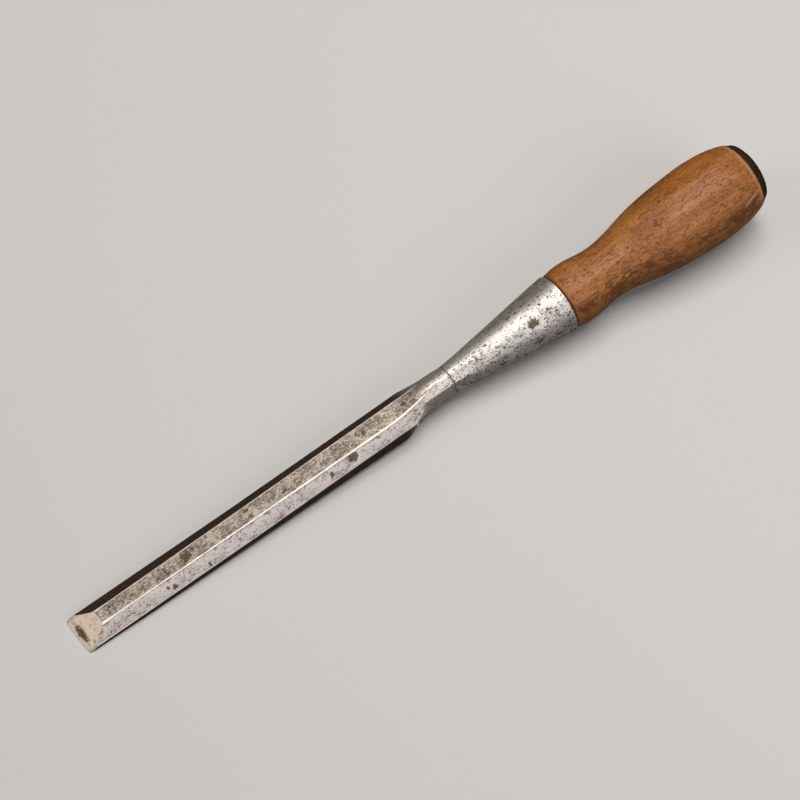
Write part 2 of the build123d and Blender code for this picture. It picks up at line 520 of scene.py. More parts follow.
def front_point(column, along):
    """Point of a column in the first stretch, from sections drawn at every eighth of a millimetre."""
    key = round(along * 8)
    for k in (key, key + 1):
        if k not in front_sections:
            front_sections[k] = section(k / 8)
    share = along * 8 - key
    low = front_sections[key][column]
    high = front_sections[key + 1][column]
    return low + (high - low) * share


def front_place(column, share):
    """Point of a column at a share of the way from the end bevel to the end of the first stretch."""
    along = 0.0
    for _ in range(4):
        across, up = front_point(column, along)
        start = end_bevel(up, across)
        along = start + (FRONT_ZONE - start) * share
    return across, up, along


def shoulder_row(station):
    """Row where the six-sided bar is swept in to the round neck, and the pale line along its crease, partly
    wear and partly painted highlight.
    """
    lean = CRANK * smoothstep(SHOULDER_ZONE, SHOULDER_END, station)
    axis_along = NECK + (station - NECK) * cos(CRANK)
    axis_up = NECK_HEIGHT + (station - NECK) * sin(CRANK)
    line_shows = 1 - smoothstep(NECK_START + 6, SHOULDER_END + 3, station)
    points = []
    edges = []
    for across, up in section(min(station, ROOT)):
        rise = up - axis_up
        reach = hypot(across, rise)
        far_share = smoothstep(*FAR_SHARE_RUN, across / reach)
        sweep = sweep_radius(station, far_share, smoothstep(*LOW_SHARE_RUN, rise / reach))
        radius = shoulder_radius(station, reach, sweep, rise)
        share = (flattened(radius, atan2(rise, across), station) - seam_groove(station)) / reach
        points.append((
            across * share,
            axis_up + rise * share * cos(lean),
            axis_along - rise * share * sin(lean),
        ))
        # Pale line along the crease of the sweep: partly wear, partly painted highlight.
        edges.append(exp(-((reach - sweep) / SHOULDER_LINE_WIDTH) ** 2) * line_shows)
    return points, edges


def shoulder_radius(station, reach, sweep, rise):
    """Distance from the handle axis: the bar cut by the sweep, then the neck, with rounded joins."""
    worn = smoothstep(*CREASE_WEAR_RUN, rise)
    crease = SHOULDER_CREASE + (LOWER_CREASE - SHOULDER_CREASE) * worn
    cut = lower_of(reach, sweep, crease)
    neck = neck_radius(station)
    radius = upper_of(cut, neck, NECK_BLEND) if neck else cut
    settled = smoothstep(ROOT, SEAM, station)
    return radius + (neck - radius) * settled


def seam_groove(station):
    """Depth of the crease along the weld between blade and socket."""
    return SEAM_GROOVE * exp(-((SEAM - station) / SEAM_GROOVE_WIDTH) ** 2)


def seam_mark(station):
    """How dark the crease is."""
    return exp(-((SEAM - station) / SEAM_MARK_WIDTH) ** 2)


def end_face(ring, vertices):
    """Faces of the ground end; the points inside its outline are added to the vertices."""
    back_first = 2 * SIDE_COLUMNS + FLAT_STEPS - 1
    grid = []
    for level in range(SIDE_COLUMNS):
        right = back_first - 1 - level
        if level == 0:
            inner = [back_first + FLAT_STEPS - 1 - k for k in range(1, FLAT_STEPS)]
        elif level == SIDE_COLUMNS - 1:
            inner = [level + k for k in range(1, FLAT_STEPS)]
        else:
            inner = list(range(len(vertices), len(vertices) + FLAT_STEPS - 1))
            vertices += ground_line(ring[level], ring[right])
        grid.append([level] + inner + [right])
    faces = []
    for low, high in zip(grid, grid[1:]):
        faces += [(low[k], high[k], high[k + 1], low[k + 1]) for k in range(FLAT_STEPS)]
    return faces


def ground_line(a, b):
    """Points on the end bevel between two points of its outline."""
    line = []
    for k in range(1, FLAT_STEPS):
        share = k / FLAT_STEPS
        across = a[0] + (b[0] - a[0]) * share
        up = a[1] + (b[1] - a[1]) * share
        line.append(on_blade(end_bevel(up, across), across, up))
    return line


def stub_points(ring):
    """Both rings of the weld stub in the socket, with a point for each one of the neck's last row."""
    axis_up = NECK_HEIGHT + (SEAM - NECK) * sin(CRANK)
    turns = [atan2(up - axis_up, across) for across, up, _ in ring]
    points = []
    for station in (SEAM, SPIGOT_END):
        points += [on_handle(station, SPIGOT_RADIUS * cos(turn), SPIGOT_RADIUS * sin(turn)) for turn in turns]
    return points


def make_blade(materials):
    """Blade, neck and weld stub in one mesh; its ground end has the second material."""
    rings, marks = blade_rings()
    count = len(rings[0])
    vertices = [on_blade(along, across, up) for ring in rings for across, up, along in ring]
    vertices += stub_points(rings[-1])
    tip = len(vertices)
    vertices.append(on_handle(SPIGOT_END, 0, 0))
    faces = skin(len(rings) + 2, count)
    faces += [face[::-1] for face in fan(tip, tip - count, count)]
    ground_first = len(faces)
    faces += end_face(rings[0], vertices)
    place = ("forging", "blade_steel", "blade")
    piece = finished_mesh("blade_forged", vertices, faces, place, marks, materials)
    for index in range(ground_first, len(faces)):
        piece.data.polygons[index].material_index = 1


def curve(points, slopes, steps):
    """Smooth outline through (station, radius) points with a slope at each."""
    outline = []
    for k in range(len(points) - 1):
        (t0, r0), (t1, r1) = points[k], points[k + 1]
        span = t1 - t0
        rise = r1 - r0
        for step in range(steps):
            s = step / steps
            bow = (span * slopes[k] - rise) * (1 - s) + (rise - span * slopes[k + 1]) * s
            outline.append((t0 + span * s, r0 + rise * s + s * (1 - s) * bow))
    outline.append(points[-1])
    return outline


def turned_piece(name, outline, shaping, mark_names, place, material, closed=False):
    """Mesh turned about the handle axis; shaping(station, radius, turn) gives the radius and the marks.

    Unless the outline closes on itself, the first and last rings shrink to points on the axis.
    """
    turns = [2 * pi * column / COLUMNS for column in range(COLUMNS)]
    vertices = []
    found = []
    for station, radius in outline:
        for turn in turns:
            here, mark = shaping(station, radius, turn)
            vertices.append(on_handle(station, here * cos(turn), here * sin(turn)))
            found.append(mark)
    marks = {key: [mark[k] for mark in found] for k, key in enumerate(mark_names)}
    faces = skin(len(outline), COLUMNS, closed)
    if not closed:
        tip = len(vertices)
        faces += fan(tip, 0, COLUMNS)
        faces += [face[::-1] for face in fan(tip + 1, tip - COLUMNS, COLUMNS)]
        vertices += [on_handle(outline[0][0], 0, 0), on_handle(outline[-1][0], 0, 0)]
    finished_mesh(name, vertices, faces, place, marks, [material])


def through(*stops):
    """Straight runs through points, with a count of steps between each two; the last point is left out."""
    outline = []
    for a, steps, b in zip(stops[::2], stops[1::2], stops[2::2]):
        for k in range(steps):
            share = k / steps
            outline.append((a[0] + (b[0] - a[0]) * share, a[1] + (b[1] - a[1]) * share))
    return outline


def bore_radius(station):
    slope = (RIM_RADIUS - SOCKET_WALL - BORE_END_RADIUS) / (RIM - BORE_BOTTOM)
    return BORE_END_RADIUS + slope * (station - BORE_BOTTOM)


def socket_outline():
    """Outline of the socket from its stub's end, over the outside and the rim, to the bore's bottom."""
    points = [(SEAM, NECK_RADIUS), (FLARE, FLARE_RADIUS), (RIM - RIM_ROUND, RIM_RADIUS)]
    outline = [(SPIGOT_END, SPIGOT_RADIUS), (SEAM, SPIGOT_RADIUS)]
    middle_slope = (points[2][1] - points[0][1]) / (points[2][0] - points[0][0])
    outline += curve(points, (SEAM_SLOPE, middle_slope, RIM_SLOPE), 75)
    outline += [(RIM - 0.1, RIM_RADIUS - 0.08), (RIM, RIM_RADIUS - RIM_ROUND)]
    outline += through((RIM, RIM_RADIUS - RIM_ROUND - 0.05), 3, (RIM, bore_radius(RIM) + 0.1))
    outline += through((RIM - 0.1, bore_radius(RIM - 0.1)), 45, (BORE_BOTTOM, BORE_END_RADIUS))
    return outline + [(BORE_BOTTOM, BORE_END_RADIUS)]


def worn_socket(station, radius, turn):
    """Radius of the worn socket, and its marks of pit, stain and crease; the bore is smooth."""
    in_bore = abs(radius - bore_radius(station)) < 0.2
    if in_bore or radius < NECK_RADIUS - 0.01:
        return radius, (0.0, 0.0, 0.0)
    spot = Vector((station, radius * cos(turn), radius * sin(turn)))
    depth = pitting(Vector((station * 0.7, spot.y, spot.z)))
    unevenness = 0.06 * (fractal(spot, 0.05, 2) - 0.9)
    around = (turn + pi / 2) % (2 * pi) - pi / 2
    patches = [(place, radians(side) * radius, length, width) for place, side, length, width in SOCKET_STAINS]
    stain = stained(station, around * radius, patches)
    worn_by = depth + seam_groove(station) + 0.03 * stain
    worn_by -= min(unevenness, 0) * smoothstep(SEAM, SEAM + 8, station)
    marks = (min(depth / PIT_DEPTH, 1), stain, seam_mark(station))
    return flattened(radius, turn, station) - worn_by, marks


def make_socket(material):
    place = ("forging", "socket_iron", "socket")
    turned_piece("socket_forged", socket_outline(), worn_socket, ("pit", "stain", "crease"), place, material)


def grip_outline():
    first = (HANDLE_SHOULDER + COLLAR_ROUND, COLLAR_EDGE)
    points = [first] + list(GRIP)
    body = curve(points, natural_slopes(points), 46)
    tail_slope = (body[-1][1] - body[-2][1]) / (body[-1][0] - body[-2][0])
    tail = tangent_arc(GRIP[-1], tail_slope, CROWN, 24)
    end_slope = (tail[-1][1] - tail[-2][1]) / (tail[-1][0] - tail[-2][0])
    crown = tangent_arc(CROWN, end_slope, (HANDLE_END, HANDLE_END_RADIUS), 22)
    return body[:-1] + tail[:-1] + crown


def natural_slopes(points):
    """Slopes at (station, radius) points of the natural cubic through them."""
    spans = [b[0] - a[0] for a, b in zip(points, points[1:])]
    rises = [(b[1] - a[1]) / span for a, b, span in zip(points, points[1:], spans)]
    ratios = [0.0]
    levels = [0.0]
    for k in range(1, len(spans)):
        pivot = 2 * (spans[k - 1] + spans[k]) - spans[k - 1] * ratios[-1]
        ratios.append(spans[k] / pivot)
        levels.append((6 * (rises[k] - rises[k - 1]) - spans[k - 1] * levels[-1]) / pivot)
    bends = [0.0]
    for ratio, level in zip(ratios[::-1], levels[::-1]):
        bends.insert(0, level - ratio * bends[0])
    slopes = [rise - span * (2 * a + b) / 6 for rise, span, a, b in zip(rises, spans, bends, bends[1:])]
    return slopes + [rises[-1] + spans[-1] * (bends[-2] + 2 * bends[-1]) / 6]


def tangent_arc(start, slope, end, steps):
    """Arc from start, leaving at the slope, to end."""
    along = Vector((1, slope)).normalized()
    side = Vector((-along.y, along.x))
    chord = Vector(end) - Vector(start)
    turn = atan2(chord.y, chord.x) - atan2(along.y, along.x)
    radius = chord.length / (2 * sin(turn))
    outline = []
    for k in range(steps + 1):
        angle = 2 * turn * k / steps
        point = Vector(start) + along * radius * sin(angle) + side * radius * (1 - cos(angle))
        outline.append(tuple(point))
    return outline


DENTS = (
    # station, turn in degrees from +Y, length, width, depth of a knock in the wood
    (285.0, 165, 3.0, 1.5, 0.22),
    (262.0, 150, 3.5, 1.2, 0.20),
    (233.0, 92, 2.0, 1.6, 0.20),
    (239.0, 58, 3.5, 1.2, 0.20),
    (309.0, 60, 3.0, 2.0, 0.22),
    (250.0, 20, 2.5, 1.0, 0.15),
    (298.0, -70, 6.0, 1.4, 0.25),
)
SCRATCH = ((306.2, 154.0), (314.4, 148.0))  # ends of a long scratch, as station and turn
SCRATCH_WIDTH = 0.42
TENON_GRIME = 0.4  # the tenon is stained by the iron
TENON_CHAMFER = 0.4
WOOD_SHRINK = 0.09  # keeps the swell off the bench and inside its box


def scratch_marks(station, turn, radius):
    """How light and how dark the wood is beside the long scratch."""
    (first, first_turn), (last, last_turn) = SCRATCH
    share = (station - first) / (last - first)
    if not -0.1 < share < 1.1:
        return 0.0, 0.0
    middle = radians(first_turn + (last_turn - first_turn) * share)
    aside = wrapped(turn - middle) * radius
    ends = smoothstep(-0.1, 0.15, share) * (1 - smoothstep(0.9, 1.1, share))
    light = exp(-(aside / SCRATCH_WIDTH) ** 2) * ends
    dark = exp(-((aside - 1.0) / 0.5) ** 2) * (1 - smoothstep(0.5, 0.8, share)) * ends
    return light, dark


def knocked(station, turn, radius):
    """Depth of the knocks in the wood at a place."""
    depth = 0.0
    for place, side, length, width, deep in DENTS:
        along = (station - place) / length
        aside = wrapped(turn - radians(side)) * radius / width
        depth += deep * exp(-(along ** 2 + aside ** 2) * 2)
    return depth


def tenon_radius(station):
    return bore_radius(station) - TENON_CLEARANCE


def handle_outline():
    """Outline of the wood from the tenon's end, over the grip, to the end of the stub."""
    full = TENON_START + TENON_CHAMFER
    shoulder = HANDLE_SHOULDER
    outline = through((TENON_START, tenon_radius(TENON_START) - 0.3), 2, (full, tenon_radius(TENON_START)))
    outline += through((full, tenon_radius(full)), 50, (shoulder, tenon_radius(shoulder)))
    outline += [(shoulder, tenon_radius(shoulder)), (shoulder, COLLAR_EDGE - COLLAR_ROUND)]
    outline += [(shoulder + 0.12, COLLAR_EDGE - 0.2)] + grip_outline()
    return outline + [(HANDLE_END, STUB_RADIUS), (STUB_END, STUB_RADIUS)]


def carved_wood(station, radius, turn):
    """Radius of the carved wood, and its marks of dent, scratch and darkening."""
    if station < HANDLE_SHOULDER + 0.1 or radius < 8:
        return radius, (0.0, 0.0, TENON_GRIME)
    spot = Vector((station * 0.25, radius * cos(turn), radius * sin(turn)))
    uneven = 0.10 * (fractal(spot, 0.12, 2) - 0.8)
    knocks = knocked(station, turn, radius)
    grain = 0.025 * min(noise.noise(Vector((station * 0.12, spot.y * 1.6, spot.z * 1.6))), 0)
    light, dark = scratch_marks(station, turn, radius)
    light = max(light, 0.5 * exp(-((station - HANDLE_END + 0.9) / 0.6) ** 2))
    # Darker rings where the wood meets the socket rim and the washer.
    darkening = exp(-((station - HANDLE_SHOULDER) / 0.55) ** 2)
    darkening += 0.6 * exp(-((station - HANDLE_END) / 0.35) ** 2)
    shape = radius + min(uneven, 0) - knocks + grain - 0.05 * light - WOOD_SHRINK
    return shape, (min(knocks / 0.2 + dark, 1), light, min(darkening, 1))


def make_handle(material):
    place = ("handle_assembly", "handle_wood", "handle")
    marks = ("dent", "scratch", "darkening")
    turned_piece("handle_turned", handle_outline(), carved_wood, marks, place, material)


def ragged_leather(station, radius, turn):
    """Radius of a washer with its torn outside; the hole stays round."""
    if radius < WASHER_HOLE + 0.2:
        return radius, ()
    spot = Vector((station * 1.5, radius * cos(turn), radius * sin(turn)))
    ragged = 0.22 * (fractal(spot, 0.22, 3) - 0.7) + 0.10 * (fractal(spot, 0.9, 2) - 0.6)
    return radius + min(ragged, 0), ()


def make_washer(name, node, outline, material):
    place = ("handle_assembly", "leather", node)
    turned_piece(name, outline, ragged_leather, (), place, material, closed=True)


def make_washers(material):
    joint, joint_radius = WASHER_JOINT
    rim = WASHER_RADIUS - 0.05
    inner = through(
        (HANDLE_END, WASHER_HOLE), 5, (HANDLE_END, rim - 0.3), 2, (HANDLE_END + 0.25, rim - 0.1), 12,
        (joint - 0.15, joint_radius + 0.08))
    inner += through((joint, joint_radius - 0.35), 5, (joint, WASHER_HOLE), 3, (HANDLE_END, WASHER_HOLE))
    make_washer("leather_inner_cut", "leather_washer_inner", inner, material)
    rim = (joint + 0.2, joint_radius - 0.1)
    outer = through((joint, WASHER_HOLE), 5, (joint, joint_radius - 0.4), 2, rim)
    outer += tangent_arc(rim, DOME_SLOPE, DOME_EDGE, 12)[:-1]
    for k in range(DOME_STEPS + 1):
        radius = DOME_EDGE[1] + (WASHER_HOLE + 0.3 - DOME_EDGE[1]) * k / DOME_STEPS
        fall = (radius / DOME_EDGE[1]) ** 2
        outer.append((STRIKING_FACE - (STRIKING_FACE - DOME_EDGE[0]) * fall, radius))
    outer += through((STRIKING_FACE - 0.6, WASHER_HOLE), 4, (joint, WASHER_HOLE))
    make_washer("leather_outer_domed", "leather_washer_outer", outer, material)


# ---- materials ----

# Tones of the metal, as linear colours.
# Pale tone of the worn arrises, partly painted highlight.
RUBBED_AND_HIGHLIGHT = (1.0, 0.94, 0.87)
PALE_GRAIN = (0.95, 0.88, 0.82)
CLOUDED = (0.34, 0.28, 0.24)
LOW_BEVEL = (0.34, 0.29, 0.28)
MOTTLED = (0.17, 0.135, 0.105)
BROWNED = (0.20, 0.14, 0.09)
FINE_GREY = (0.24, 0.20, 0.17)
SPECKED = (0.095, 0.074, 0.058)
DOTTED = (0.040, 0.031, 0.025)
PITTED = (0.10, 0.072, 0.052)
STAIN_LIGHT = (0.15, 0.10, 0.062)
STAIN_DARK = (0.055, 0.036, 0.024)
# Tones of the dark scale with painted shade on the walls and the far bevel; darker and browner on the far
# side.
SCALE_AND_SHADE_DARK = (0.020, 0.014, 0.013)
SCALE_AND_SHADE_LIGHT = (0.050, 0.038, 0.036)
FAR_SCALE_AND_SHADE_DARK = (0.012, 0.0065, 0.004)
FAR_SCALE_AND_SHADE_LIGHT = (0.046, 0.026, 0.015)
CREASED = (0.03, 0.022, 0.016)


class Shading:
    """Node tree of one material, with short calls for the nodes it is built from."""

    def __init__(self, name):
        self.material = bpy.data.materials.new(name)
        self.material.use_nodes = True
        self.tree = self.material.node_tree
        self.tree.nodes.clear()
        self.surface = self.tree.nodes.new("ShaderNodeBsdfPrincipled")
        output = self.tree.nodes.new("ShaderNodeOutputMaterial")
        self.tree.links.new(self.surface.outputs["BSDF"], output.inputs["Surface"])

    def put(self, socket, value):
        if isinstance(value, bpy.types.NodeSocket):
            self.tree.links.new(value, socket)
        elif hasattr(value, "__len__") and len(value) == 3 and len(socket.default_value) == 4:
            socket.default_value = (*value, 1)
        else:
            socket.default_value = value

    def node(self, kind, **inputs):
        made = self.tree.nodes.new(kind)
        for name, value in inputs.items():
            self.put(made.inputs[name], value)
        return made

    def place(self, scale=(1, 1, 1), lean=0.0):
        """Object coordinates in millimetres, turned about Y and stretched."""
        coords = self.tree.nodes.new("ShaderNodeTexCoord").outputs["Object"]
        turned = self.node("ShaderNodeMapping", Vector=coords, Rotation=(0, lean, 0), Scale=(1000,) * 3)
        return self.node("ShaderNodeMapping", Vector=turned.outputs[0], Scale=scale).outputs[0]

    def noise(self, vector, scale, detail=4.0, rough=0.55, distortion=0.0):
        made = self.node("ShaderNodeTexNoise", Vector=vector, Scale=scale, Detail=detail,
                         Roughness=rough, Distortion=distortion)
        return made.outputs[0]

    def math(self, operation, a, b=0.0, clamp=False):
        made = self.tree.nodes.new("ShaderNodeMath")
        made.operation = operation
        made.use_clamp = clamp
        self.put(made.inputs[0], a)
        self.put(made.inputs[1], b)
        return made.outputs[0]

    def times(self, a, b):
        return self.math("MULTIPLY", a, b)

    def plus(self, a, b):
        return self.math("ADD", a, b)

    def minus(self, a, b):
        return self.math("SUBTRACT", a, b)

    def most(self, a, b):
        return self.math("MAXIMUM", a, b)

    def around(self, value, amount):
        """Swing of a noise about its middle."""
        return self.times(self.minus(value, 0.5), amount)

    def band(self, value, low, high, to_low=0.0, to_high=1.0):
        """Smooth step of a value from one level to another."""
        made = self.tree.nodes.new("ShaderNodeMapRange")
        made.interpolation_type = "SMOOTHSTEP"
        for socket, number in zip(made.inputs, (value, low, high, to_low, to_high)):
            self.put(socket, number)
        return made.outputs[0]

    def mix(self, share, a, b):
        made = self.tree.nodes.new("ShaderNodeMix")
        made.data_type = "RGBA"
        self.put(made.inputs[0], share)
        self.put(made.inputs[6], a)
        self.put(made.inputs[7], b)
        return made.outputs[2]

    def layers(self, color, *tones):
        """Colour with tones laid over it in turn, each by its share."""
        for share, tone in tones:
            color = self.mix(share, color, tone)
        return color

    def dots(self, vector, scale, reach, wobble):
        """Scattered dots, 1 inside, of up to a radius of reach in cells; wobble roughens them."""
        cells = self.tree.nodes.new("ShaderNodeTexVoronoi")
        self.put(cells.inputs["Vector"], vector)
        cells.inputs["Scale"].default_value = scale
        chance = self.parts(cells.outputs["Color"])[0]
        radius = self.times(reach, self.band(chance, 0.15, 1.0))
        distance = self.plus(cells.outputs["Distance"], self.around(wobble, 0.45))
        return self.band(self.minus(radius, distance), -0.03, 0.05)

    def mark(self, name):
        made = self.tree.nodes.new("ShaderNodeAttribute")
        made.attribute_name = name
        return made.outputs["Fac"]

    def parts(self, vector):
        return self.node("ShaderNodeSeparateXYZ", Vector=vector).outputs

    def finish(self, color, roughness, metallic, height, depth, specular=0.5):
        bump = self.node("ShaderNodeBump", Height=height, Distance=depth * MM, Strength=1.0)
        self.put(self.surface.inputs["Normal"], bump.outputs[0])
        self.put(self.surface.inputs["Base Color"], color)
        self.put(self.surface.inputs["Roughness"], roughness)
        self.put(self.surface.inputs["Metallic"], metallic)
        self.surface.inputs["Specular IOR Level"].default_value = specular
        return self.material


def handle_lean():
    return atan2(HANDLE_AXIS.z, HANDLE_AXIS.x)


def metal(name, lean, stretch, bright, dull_tone, crowding):
    """Old forged metal: pale on worn arrises with painted highlight, dull and speckled in the hollows, near
    black on the walls and the far bevel with scale and painted shade.
    """
    s = Shading(name)
    metal_patterns(s, lean, stretch)
    crowd, speck_add, s.mottle_share, s.brown_edge = crowding(s)
    large = s.dots(s.pits_at, 1.15, s.times(crowd, 0.52), s.wobble)
    small = s.dots(s.pits_at, 2.10, s.times(crowd, 0.54), s.wobble)
    s.dotted = s.most(large, s.times(small, 0.9))
    specks = s.band(s.plus(s.grain, speck_add), 0.575, 0.665)
    fine_specks = s.band(s.plus(s.fine_grain, speck_add), 0.58, 0.67)
    s.specks = s.most(s.times(specks, 0.8), s.times(fine_specks, 0.7))
    s.patch = s.band(s.plus(s.stain, s.around(s.grain, 3.0)), 0.46, 0.66)
    # Pale mark on the arrises, broken by noise: partly wear, partly painted highlight along the ridges and
    # edges.
    shown = s.times(s.band(s.ridge_noise, 0.36, 0.56, 0.7, 1.0), s.band(s.grain, 0.68, 0.54, 0.65, 1.0))
    s.rubbed = s.times(s.band(s.arris, 0.15, 0.75), shown)

    color = metal_color(s, s.mix(s.dull, bright, dull_tone))
    tarnish = s.most(s.times(s.specks, 0.55), s.most(s.dotted, s.oxide))
    tarnish = s.most(tarnish, s.most(s.times(s.dull, 0.30), s.patch))
    rough = s.plus(s.band(tarnish, 0.0, 1.0, 0.40, 0.70), s.times(s.fine, 0.12))
    shine = s.math("SUBTRACT", s.band(tarnish, 0.0, 1.0, 0.93, 0.05), s.times(s.rubbed, 0.45), clamp=True)
    height = s.plus(s.times(s.dotted, -1.0), s.times(s.specks, -0.45))
    height = s.plus(height, s.times(s.fine, 0.35))
    return s.finish(color, rough, shine, height, 0.03, specular=0.04)


def metal_patterns(s, lean, stretch):
    """Noises and marks that the metal's colour, shine and relief share, kept on its shading."""
    s.at = s.place(lean=lean)
    s.pits_at = s.place(scale=(stretch, 1, 1), lean=lean)
    _, s.y, s.z = s.parts(s.at)
    s.clouds = s.noise(s.at, 0.12, 3, 0.6)
    s.clusters = s.band(s.noise(s.at, 0.22, 4, 0.6), 0.40, 0.62)
    s.grain = s.noise(s.pits_at, 1.15, 6, 0.78)
    s.fine_grain = s.noise(s.pits_at, 2.6, 4, 0.7)
    s.fine = s.noise(s.pits_at, 5.5, 3, 0.65)
    s.wobble = s.noise(s.pits_at, 1.7, 3, 0.6)
    s.mottles = s.noise(s.pits_at, 0.62, 5, 0.72)
    s.ridge_noise = s.noise(s.at, 0.16, 3, 0.6)
    for name in ("pit", "arris", "oxide", "dull", "neck", "stain", "crease", "low"):
        setattr(s, name, s.mark(name))


def socket_crowding(s):
    """Shares of pits, specks and mottles on the socket, and of the brown on its far upper edge."""
    side = s.minus(s.times(s.y, -0.8), s.times(s.z, 0.35))
    crowd = s.times(s.band(side, -12.0, 2.0, 0.45, 1.0), s.band(s.clouds, 0.30, 0.62, 0.6, 1.0))
    brown_edge = s.times(s.band(side, -4.0, -9.0, 0.0, 0.55), s.band(s.grain, 0.36, 0.58))
    return crowd, s.times(crowd, 0.055), s.times(crowd, 0.14), brown_edge


def blade_crowding(s):
    """Shares of pits, specks and mottles on the blade, which has no brown edge."""
    crowd = s.times(s.band(s.clouds, 0.3, 0.65, 0.45, 1.0), 0.6)
    crowd = s.most(crowd, s.times(s.neck, 0.6))
    speck_add = s.plus(s.times(s.dull, 0.058), s.times(s.clusters, 0.070))
    mottle_share = s.plus(s.times(s.dull, 0.35), s.times(s.clusters, 0.25))
    return crowd, speck_add, mottle_share, 0.0


def metal_color(s, ground):
    """Ground colour with its clouds, specks, pits, stains, dark scale with painted shade, pale worn arrises
    with painted highlight, and crease.
    """
    # The dark scale and painted shade are darker and browner on the far side.
    far = s.band(s.y, -3.0, 1.0)
    scale_and_shade_dark = s.mix(far, SCALE_AND_SHADE_DARK, FAR_SCALE_AND_SHADE_DARK)
    scale_and_shade_light = s.mix(far, SCALE_AND_SHADE_LIGHT, FAR_SCALE_AND_SHADE_LIGHT)
    broken_line = s.band(s.noise(s.at, 0.55, 2, 0.5), 0.42, 0.54, 0.12, 1.0)
    return s.layers(
        ground,
        (s.band(s.clouds, 0.42, 0.68, 0.0, 0.25), CLOUDED),
        (s.times(s.low, s.band(s.clouds, 0.3, 0.7, 0.5, 0.1)), LOW_BEVEL),
        (s.times(s.band(s.mottles, 0.47, 0.58), s.mottle_share), MOTTLED),
        (s.band(s.grain, 0.45, 0.34, 0.0, 0.35), PALE_GRAIN),
        (s.brown_edge, BROWNED),
        (s.band(s.fine, 0.52, 0.68, 0.0, 0.25), FINE_GREY),
        (s.specks, SPECKED),
        (s.times(s.dotted, 0.88), DOTTED),
        (s.band(s.pit, 0.1, 0.6, 0.0, 0.7), PITTED),
        (s.times(s.patch, 0.9), s.mix(s.band(s.fine_grain, 0.42, 0.6), STAIN_LIGHT, STAIN_DARK)),
        # dark scale and painted shade on the walls and the far bevel
        (s.times(s.oxide, 0.98), s.mix(s.band(s.grain, 0.40, 0.62), scale_and_shade_light, scale_and_shade_dark)),
        # pale worn arrises, partly painted highlight
        (s.rubbed, RUBBED_AND_HIGHLIGHT),
        (s.times(s.band(s.crease, 0.35, 0.9), broken_line), CREASED),
    )


RUST_BAND = (0.3, 5.6, 2.7, 1.7)  # middle across, half width, middle up the slope, half height
RUST_SPOT = (-5.9, 0.7, 4.9, 0.8)


def ground_face():
    """End bevel: pale, stoned by hand, with a rusted hollow just behind the honed strip."""
    s = Shading("steel_end_bevel")
    at = s.place()
    _, y, z = s.parts(at)
    clouds = s.noise(at, 0.35, 4, 0.6)
    scratches = s.noise(s.place(scale=(0.35, 3.0, 0.35)), 2.2, 3, 0.7)
    fine = s.noise(at, 3.5, 3, 0.6)
    wobble = s.noise(at, 0.9, 4, 0.65)
    tarnish = s.noise(at, 0.55, 5, 0.72)
    spots = s.noise(at, 1.6, 4, 0.7)
    slope = s.math("DIVIDE", z, sin(BEVEL_ANGLE))
    patch = s.band(s.plus(offset_from(s, y, slope, RUST_BAND), s.around(wobble, 2.6)), 0.95, 0.55)
    spot = s.band(s.plus(offset_from(s, y, slope, RUST_SPOT), s.around(wobble, 1.5)), 1.2, 0.5)
    rust = s.most(patch, s.times(spot, 0.6))
    honed = s.band(z, HONED_RISE + 0.06, HONED_RISE - 0.04)
    color = s.layers(
        s.mix(s.band(clouds, 0.35, 0.65), (0.86, 0.69, 0.53), (0.86, 0.75, 0.65)),
        (s.band(tarnish, 0.46, 0.62, 0.0, 0.45), (0.46, 0.32, 0.20)),
        (s.band(spots, 0.54, 0.66, 0.0, 0.40), (0.32, 0.22, 0.15)),
        (s.band(spots, 0.44, 0.32, 0.0, 0.6), (0.90, 0.82, 0.74)),
        (s.band(scratches, 0.45, 0.75, 0.0, 0.25), (0.42, 0.36, 0.30)),
        (s.times(honed, 0.6), (0.80, 0.73, 0.66)),
        (rust, s.mix(s.band(wobble, 0.42, 0.6), (0.19, 0.085, 0.03), (0.055, 0.028, 0.014))),
    )
    shine = s.times(s.minus(1.0, rust), 0.55)
    rough = s.plus(s.times(rust, 0.25), s.plus(0.48, s.times(fine, 0.12)))
    height = s.minus(s.times(scratches, 0.35), rust)
    return s.finish(color, rough, shine, height, 0.05)


def offset_from(s, y, slope, spot):
    """Distance from the middle of a spot on the end bevel, where 1 is its outline."""
    middle, half_width, up, half_height = spot
    across = s.math("POWER", s.math("DIVIDE", s.minus(y, middle), half_width), 2.0)
    along = s.math("POWER", s.math("DIVIDE", s.minus(slope, up), half_height), 2.0)
    return s.math("SQRT", s.plus(across, along))


